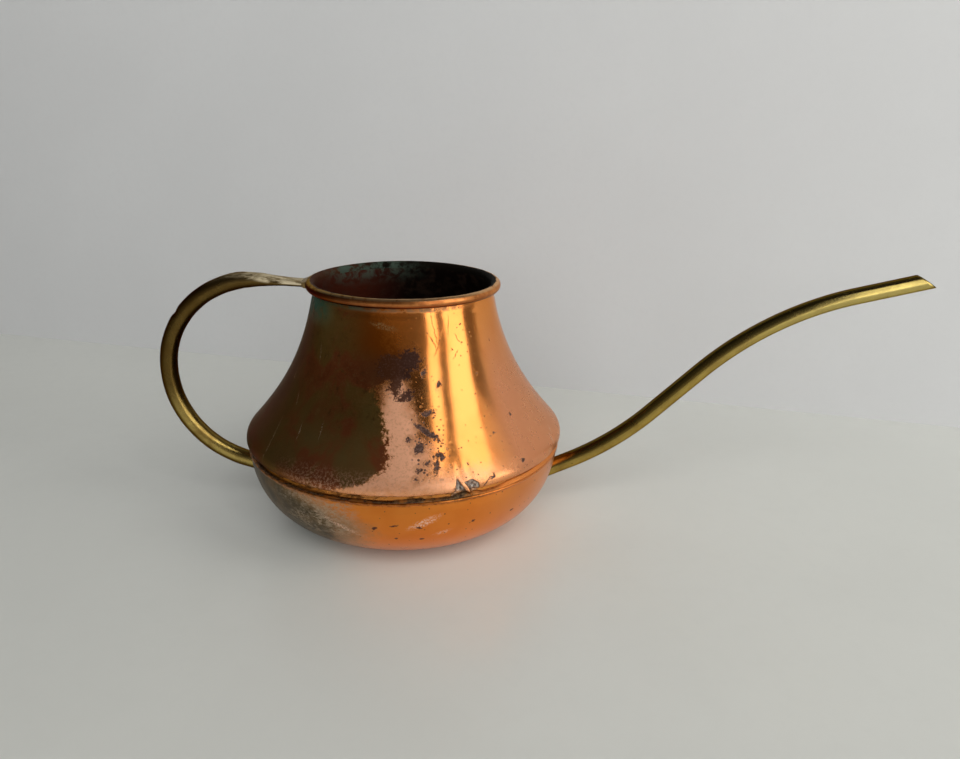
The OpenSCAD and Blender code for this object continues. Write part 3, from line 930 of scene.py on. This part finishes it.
def seam_ring():
    """Uneven run of solder and dirt lying in the groove."""
    pocket = beside(lip_line, SHEET + GAP)
    wall = BAND_R + GAP
    low = [(wall, pocket[1][1])] + pocket[1:]
    top = pocket[-1]
    verts = []
    for k in range(SEAM_STEPS):
        phi = 360.0 * k / SEAM_STEPS
        s, c = math.sin(rad(phi)), -math.cos(rad(phi))
        lump = uneven(s * 9, c * 9, 1.7) * 0.55 + uneven(s * 42, c * 42, 4.2) * 0.35
        crust = bell(((phi - 24) / 4.6) ** 2, 1)
        filled = smooth(28, 44, phi) * smooth(200, 150, phi)
        sparse = smooth(352, 330, phi) * smooth(180, 220, phi)
        rise = (0.30 - 0.35 * sparse + 0.7 * lump * (1 - 0.7 * filled) + 0.9 * bell(phi - 8, 14.0)
                + 1.5 * crust + 1.3 * filled)
        rise = max(0.1, rise)
        loop = low + [(top[0] - 0.22 + 0.34 * crust, top[1] + 0.10 + 0.2 * rise),
                      (BAND_R + 0.75 + 0.6 * crust, top[1] + 0.30 * rise + 0.25),
                      (BAND_R + 0.32, top[1] + 0.75 * rise + 0.1), (wall, top[1] + 1.05 * rise)]
        verts += [(r * s, r * c, z) for r, z in loop]
    return verts, bands(SEAM_STEPS, len(verts) // SEAM_STEPS)


add_piece("seam_solder_run", seam_ring(), "seam_solder", "solder", MAT_SEAM)


def sweep(path, section, wall, flip):
    """Rings of section points (side, up, ahead) carried along a path in the XZ plane."""
    rings = []
    for p, h, s in path:
        t = direction(h)
        up = direction(h + 90)
        ring = []
        for side, high, ahead in section(s, wall):
            x, z = add(add(p, up, high), t, ahead)
            ring.append((-x if flip else x, side, z))
        rings.append(ring)
    return rings


def tube(path, section, flip=False):
    """Open tube with a wall: rings out along the outside and back along the inside."""
    rings = sweep(path, section, 0.0, flip) + sweep(path, section, TUBE_WALL, flip)[::-1]
    return [v for ring in rings for v in ring], bands(len(rings), len(rings[0]))


spout_path = walk(spout_start, SPOUT_RISE, SPOUT_RUNS, 1.6)
SPOUT_LEN = spout_path[-1][2]
SPOUT_SIDES = 56
SPOUT_CUT = 14.0
handle_path = walk(foot_start, FOOT_RISE, HANDLE_RUNS, 1.2)
HANDLE_LEN = handle_path[-1][2]
HANDLE_SIDES = 72
NICK_AT = 97.5
NICK_DEPTH = 0.55
CREASE_DEPTH = 0.75


def spout_section(s, wall):
    """Round, sheared near the tip so that the end is cut on the slant."""
    r = TUBE_R - wall - 0.03 + 0.02 * uneven(s * 0.05, wall, 2.0)
    lean = smooth(SPOUT_LEN - SPOUT_CUT, SPOUT_LEN, s)
    out = []
    for k in range(SPOUT_SIDES):
        a = 2 * math.pi * k / SPOUT_SIDES
        up = r * math.sin(a)
        out.append((r * math.cos(a), up, -up * lean))
    return out


def handle_section(s, wall):
    """Round along the grip, pressed to a flat, creased tab over its last stretch.

    The path has turned over by the time it reaches the tab, so high < 0 is its top."""
    left = HANDLE_LEN - s
    flat = smooth(31.0, 6.0, left)
    r = TUBE_R - wall
    half_t = r + (max(TAB_T / 2 - wall, 0.15) - r) * flat
    spread = max(math.pi * (r - half_t) / 2, 0.0)
    crease = CREASE_DEPTH * smooth(36.0, 24.0, left) * smooth(2.0, 12.0, left)
    nick = NICK_DEPTH * bell(s - NICK_AT, 1.6)
    out = []
    for k in range(HANDLE_SIDES):
        a = 2 * math.pi * k / HANDLE_SIDES
        c, d = math.cos(a), math.sin(a)
        side = half_t * c + spread * min(max(2.2 * c, -1.0), 1.0)
        fold = crease * bell(side - 1.2 * math.sin(left * 0.35), 1.3) * abs(d)
        high = half_t * d + (fold if d < 0 else -0.5 * fold)
        high += 0.10 * uneven(s * 0.12, side * 0.2, d)
        if wall == 0:
            high += nick * smooth(0.3, 0.8, -d)
        out.append((side, high, 0.0))
    return out


add_piece("spout", tube(spout_path, spout_section), "spout_tube", "brass_spout", MAT_SPOUT)
add_piece("handle", tube(handle_path, handle_section, flip=True), "handle_tube", "brass_handle", MAT_HANDLE)

FILLET_STEPS = 72
FILLET_POINTS = 9
SEARCH_STEP = 0.05


def root_fillet(p, h, flip, seed):
    """Solder run where a tube meets the side of the bowl, following both surfaces."""
    axis = Vector((direction(h)[0], 0, direction(h)[1]))
    side = Vector((0, 1, 0))
    up = axis.cross(side) * -1
    verts = []
    for k in range(FILLET_STEPS):
        a = 2 * math.pi * k / FILLET_STEPS
        out = side * math.cos(a) + up * math.sin(a)
        base = Vector((p[0], 0, p[1])) + out * (TUBE_R + 0.01)
        t = -16.0
        while t < 6.0:
            q = base + axis * t
            if 0.05 < q.z < SEAM_H - 0.1 and math.hypot(q.x, q.y) >= bowl_radius(q.z):
                break
            t += SEARCH_STEP
        meet = base + axis * t
        lump = uneven(math.cos(a) * 1.4, math.sin(a) * 1.4, seed)
        on_tube = meet + axis * (1.9 + 0.7 * lump)
        on_wall = meet + out * (1.7 + 0.6 * lump)
        r = bowl_radius(min(max(on_wall.z, 1.0), SEAM_H - 0.3)) + GAP
        scale = r / math.hypot(on_wall.x, on_wall.y)
        on_wall = Vector((on_wall.x * scale, on_wall.y * scale, on_wall.z))
        middle = meet + out * 0.45 + axis * 0.35
        for i in range(FILLET_POINTS):
            u = i / (FILLET_POINTS - 1)
            q = on_tube * (1 - u) ** 2 + middle * 2 * u * (1 - u) + on_wall * u * u
            verts.append(tuple(q))
        verts.append(tuple(meet - axis * 0.05 + out * 0.03))
    if flip:
        verts = [(-x, y, z) for x, y, z in verts]
    return verts, bands(FILLET_STEPS, FILLET_POINTS + 1)


add_piece("spout_root_solder", root_fillet(spout_p, SPOUT_RISE, False, 1.3),
          "spout_solder", "solder", MAT_JOINT)
add_piece("handle_root_solder", root_fillet(foot_p, FOOT_RISE, True, 6.1),
          "handle_foot_solder", "solder", MAT_JOINT)

TAB_STEPS = 40
TAB_SOLDER_HALF = 7.2


def tab_fillet():
    """Solder between the flattened end and the roll, lapping over the end of the tab."""
    tip_r, tip_z = tab_p
    top, low = tip_z + TAB_T / 2, tip_z - TAB_T / 2
    round_roll = arc((ROLL_C[0] - ROLL_SHRINK, ROLL_C[1] - ROLL_SHRINK), ROLL_R - 0.10, -70, 66, 9)
    down, up = round_roll[0], round_roll[-1]
    verts = []
    for k in range(TAB_STEPS + 1):
        y = -TAB_SOLDER_HALF + 2 * TAB_SOLDER_HALF * k / TAB_STEPS
        ends = max(0.0, 1 - abs(y / TAB_SOLDER_HALF) ** 2.5)
        lump = uneven(y * 0.35, 0.4, 2.2)
        reach = (0.4 + 2.3 * ends) * (1 + 0.35 * lump)
        heap = (0.55 + 0.25 * lump) * ends
        far = tip_r - 0.45 + reach
        over = curve([up, (tip_r - 0.2, top + 1.5 * heap), (tip_r + 0.4 * reach, top + 0.35 * heap + 0.05),
                      (far, top - 0.25)], 7)
        under = curve([(far, low + 0.25), (tip_r + 0.4 * reach, low - 0.3 * heap - 0.05),
                       (tip_r - 0.2, low - 0.9 * heap), down], 7)
        bend = math.cos(math.asin(y / (ROLL_C[0] + ROLL_R)))
        verts += [(-r * bend, y, z) for r, z in round_roll + over[1:] + under[:-1]]
    n = len(verts) // (TAB_STEPS + 1)
    ends = [tuple(range(n)), tuple(range(TAB_STEPS * n, len(verts)))]
    return verts, bands(TAB_STEPS + 1, n, closed=False) + ends


add_piece("handle_tab_solder_run", tab_fillet(), "handle_tab_solder", "solder", MAT_JOINT)

rim_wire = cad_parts["rim_wire"].data
rim_wire.materials.clear()
rim_wire.materials.append(MAT_WIRE)


# --- stage
def painted(name, base, rough, grain_size, bump, dim_from=None):
    """Plain paint, in shade above a height when dim_from is given."""
    g = Graph(name)
    n = g.noise(grain_size, 4, 0.6)
    blot = g.noise(120.0, 3, 0.5)
    color = g.mix(g.step(blot, 0.35, 0.65), tuple(c * 0.975 for c in base), base)
    color = g.coat(color, g.step(n, 0.45, 0.7), 0.25, tuple(c * 0.95 for c in base))
    if dim_from is not None:
        color = g.mix(g.step(g.z, dim_from, dim_from + 120), color, tuple(c * 0.12 for c in base))
    g.metal(color, g.add(rough, g.sway(n, 0.08)), 0.0, bump=n, height=bump)
    return g.clear_back()


def plane(name, corners, material):
    mesh = bpy.data.meshes.new(name)
    mesh.from_pydata(corners, [], [(0, 1, 2, 3)])
    mesh.materials.append(material)
    new_object(name, mesh)


FLOOR = painted("pale_painted_top", (0.73, 0.745, 0.705), 0.30, 9.0, 0.02)
WALL = painted("pale_wall", (0.64, 0.65, 0.655), 0.9, 4.0, 0.05, dim_from=285)
WALL_Y = 0.205
WALL_TURN = -15.6
WALL_ENDS = (-1.6, 0.62)
WALL_TOP = 1.6
FLOOR_HALF = 2.5
FLOOR_NEAR = 2.6
FLOOR_FAR = -0.6


def along_wall(t, out, z):
    """Place on or in front of the back wall: t along it, out towards the camera."""
    c, s = direction(WALL_TURN)
    return (t * c + out * s, WALL_Y + t * s - out * c, z)


plane("floor", [along_wall(-FLOOR_HALF, FLOOR_NEAR, 0), along_wall(FLOOR_HALF, FLOOR_NEAR, 0),
                along_wall(FLOOR_HALF, FLOOR_FAR, 0), along_wall(-FLOOR_HALF, FLOOR_FAR, 0)], FLOOR)
plane("back_wall", [along_wall(WALL_ENDS[0], 0, 0), along_wall(WALL_ENDS[1], 0, 0),
                    along_wall(WALL_ENDS[1], 0, WALL_TOP), along_wall(WALL_ENDS[0], 0, WALL_TOP)], WALL)


# --- camera and lights
def look(eye, yaw, pitch, roll):
    """Camera matrix: yaw to the right of +Y, pitch downwards, roll."""
    cy, sy = direction(yaw)
    cp, sp = direction(pitch)
    cr, sr = direction(roll)
    forward = Vector((sy * cp, cy * cp, -sp))
    right = Vector((cy, -sy, 0))
    up = right.cross(forward)
    m = Matrix((right * cr + up * sr, up * cr - right * sr, -forward)).transposed().to_4x4()
    m.translation = eye
    return m


EYE = Vector((0.339, -4.849, 2.560)) * BODY_R * MM
cam_data = bpy.data.cameras.new("camera")
cam_data.sensor_fit = "HORIZONTAL"
cam_data.sensor_width = 36.0
cam_data.lens = 30.0
cam_data.clip_start = 0.01
camera = new_object("camera", cam_data)
camera.matrix_world = look(EYE, 1.64, 18.92, 0.97)
bpy.context.scene.camera = camera


def panel(name, place, width, height, radiance, color, aim=None):
    """Soft rectangular light that faces a point, level when aim is left out."""
    data = bpy.data.lights.new(name, "AREA")
    data.shape = "RECTANGLE"
    data.size = width
    data.size_y = height
    data.energy = radiance * width * height * math.pi
    data.color = color
    obj = new_object(name, data)
    obj.visible_camera = False
    obj.location = place
    target = Vector(aim) if aim else Vector((0, 0, place[2]))
    obj.rotation_euler = (Vector(place) - target).to_track_quat("Z", "Y").to_euler()
    return obj


PANE_BASE = 0.06
DAYLIGHT = (1.0, 0.97, 0.92)


def pane(name, az0, az1, el0, el1, dist, radiance):
    """Upright window pane filling a range of angles as seen from the can."""
    mid = 0.5 * (az0 + az1)
    width = 2 * dist * math.tan(rad(0.5 * (az1 - az0)))
    z0, z1 = dist * math.tan(rad(el0)), dist * math.tan(rad(el1))
    place = (dist * math.sin(rad(mid)), -dist * math.cos(rad(mid)), PANE_BASE + 0.5 * (z0 + z1))
    panel(name, place, width, z1 - z0, radiance, DAYLIGHT)


pane("window_near", 29, 41, -2.5, 57, 1.30, 2.35)
pane("window_far", 50, 78, -2.5, 57, 1.30, 2.35)
pane("lit_reveal", 80, 104, 24, 60, 1.35, 0.7)
# soft fill for the floor and wall, kept out of the metal's reflections
fill = panel("fill_front", (0.0, -1.4, 1.0), 1.5, 1.5, 2.65, (1, 1, 1), aim=(-0.05, 0.2, 0.1))
fill.visible_glossy = False

# a dim room, dark overhead; the places go from straight down (0) to straight up (1)
ROOM_PLACES = (0.50, 0.60, 0.74, 1.0)
ROOM_TONES = [(0.17, 0.155, 0.14), (0.17, 0.1598, 0.1496), (0.04, 0.0376, 0.0352), (0.035, 0.034, 0.033)]
room = Graph("room", bpy.data.worlds, "OutputWorld")
facing = room.step(room.parts(room.coord.outputs["Generated"])[2], -1, 1, kind="LINEAR")
tone = room.ramp(facing, ROOM_PLACES, ROOM_TONES)
bpy.context.scene.world = room.finish(room.node("Background", {0: tone}))

bpy.context.scene.view_settings.view_transform = "Standard"
bpy.context.scene.view_settings.exposure = 0.0
